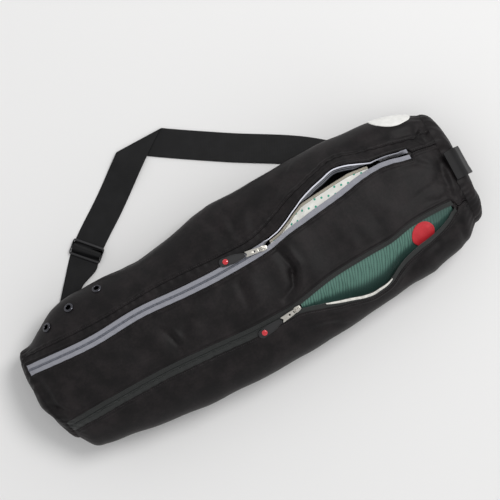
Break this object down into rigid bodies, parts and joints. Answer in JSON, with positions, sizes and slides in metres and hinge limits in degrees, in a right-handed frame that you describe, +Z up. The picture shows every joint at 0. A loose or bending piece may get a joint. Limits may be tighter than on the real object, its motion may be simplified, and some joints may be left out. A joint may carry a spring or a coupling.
{
  "type": "yoga mat bag",
  "caption": "Soft squarish tube bag with an open top zip, an open front pocket zip, vent eyelets and one webbing shoulder strap folded flat on the floor.",
  "frame": {"origin": "on the flat strip of the base that the bag rests on", "axes": "+X along the bag to the end with the strap loop, +Y to the side where the strap lies, +Z up"},
  "size_m": [0.7349, 0.4075, 0.1224],
  "materials": {
    "nylon": "woven",
    "grey_tape": "woven",
    "coil": "moulded",
    "black_tape": "woven",
    "cream_cloth": "printed",
    "binding": "woven",
    "green_cloth": "ribbed",
    "lip_cloth": "woven",
    "red_label": "printed",
    "white_patch": "matte",
    "webbing": "woven",
    "silver": "satin",
    "gunmetal": "satin",
    "rubber": "moulded",
    "red_plastic": "gloss",
    "black_plastic": "moulded"
  },
  "bodies": {
    "bag": {"base_panel": "nylon", "back_panel": "nylon", "zip_facing": "nylon", "top_panel": "nylon", "front_panel": "nylon", "end_panel_left": "nylon", "end_panel_right": "nylon", "main_zip_tape_back": "grey_tape", "main_zip_tape_front": "grey_tape", "main_zip_coil": "coil", "pocket_zip_tape_upper": "black_tape", "pocket_zip_tape_lower": "black_tape", "pocket_zip_coil": "black_tape", "main_lining": "cream_cloth", "main_lining_binding": "binding", "pocket_lining": "green_cloth", "pocket_lip_edge": "lip_cloth", "round_patch": "white_patch", "round_label": "red_label", "eyelet_1": "gunmetal", "eyelet_2": "gunmetal", "eyelet_3": "gunmetal", "main_zip_slider": "silver", "pocket_zip_slider": "silver", "shoulder_strap": "webbing", "strap_adjuster": "black_plastic"},
    "main_pull": {"main_zip_pull": "silver", "main_zip_pull_tab": "rubber", "main_zip_pull_dot": "red_plastic"},
    "pocket_pull": {"pocket_zip_pull": "silver", "pocket_zip_pull_tab": "rubber", "pocket_zip_pull_dot": "red_plastic"}
  },
  "joints": [
    {"name": "main_pull_hinge", "type": "hinge", "parent": "bag", "child": "main_pull", "pos_m": [0.02771, 0.05048, 0.11931], "axis": [0.1479, 0.9862, -0.0738], "range_deg": [0, 140]},
    {"name": "pocket_pull_hinge", "type": "hinge", "parent": "bag", "child": "pocket_pull", "pos_m": [0.02906, -0.05209, 0.11643], "axis": [-0.1268, 0.9755, 0.1796], "range_deg": [0, 140]}
  ]
}
